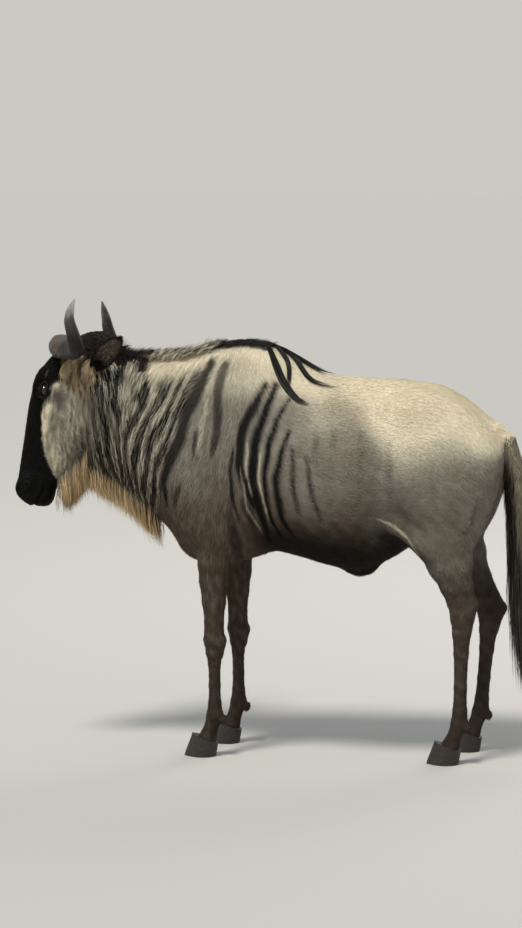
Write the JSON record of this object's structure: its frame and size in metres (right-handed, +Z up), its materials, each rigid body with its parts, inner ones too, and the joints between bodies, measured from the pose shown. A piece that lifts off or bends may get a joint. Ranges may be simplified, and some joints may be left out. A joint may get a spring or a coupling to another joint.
{
  "type": "wildebeest",
  "caption": "Standing life-size blue wildebeest bull, a still museum-type model with mane, beard, horns and tail, resting on its hooves.",
  "frame": {"origin": "on the floor under the middle of the whole animal's box", "axes": "+Z up from the hooves, -X the way the animal faces, -Y its left side"},
  "size_m": [1.6382, 0.5554, 1.4284],
  "materials": {
    "coat": "short glossy hair, grey-brown with dark brindled bands",
    "face": "short black hair on the nose, grey on the cheeks",
    "leg_coat": "short brown hair",
    "ear": "thin hair with a dark edge",
    "mane": "long coarse black hair with a sheen",
    "horn": "horn, grey at the boss and dark above, worn smooth",
    "hoof": "dark horn, dusty and lightly grooved",
    "eye": "wet dark brown"
  },
  "bodies": {
    "root": {"head": "face", "neck": "coat", "torso": "coat", "tail": "mane", "ear_left": "ear", "ear_right": "ear", "eye_left": "eye", "eye_right": "eye", "horn_left": "horn", "horn_right": "horn", "leg_fore_left_upper": "leg_coat", "leg_fore_left_lower": "leg_coat", "leg_fore_right_upper": "leg_coat", "leg_fore_right_lower": "leg_coat", "leg_hind_left_upper": "leg_coat", "leg_hind_left_lower": "leg_coat", "leg_hind_right_upper": "leg_coat", "leg_hind_right_lower": "leg_coat", "hoof_fore_left_outer": "hoof", "hoof_fore_left_inner": "hoof", "hoof_fore_right_outer": "hoof", "hoof_fore_right_inner": "hoof", "hoof_hind_left_outer": "hoof", "hoof_hind_left_inner": "hoof", "hoof_hind_right_outer": "hoof", "hoof_hind_right_inner": "hoof"}
  },
  "joints": []
}
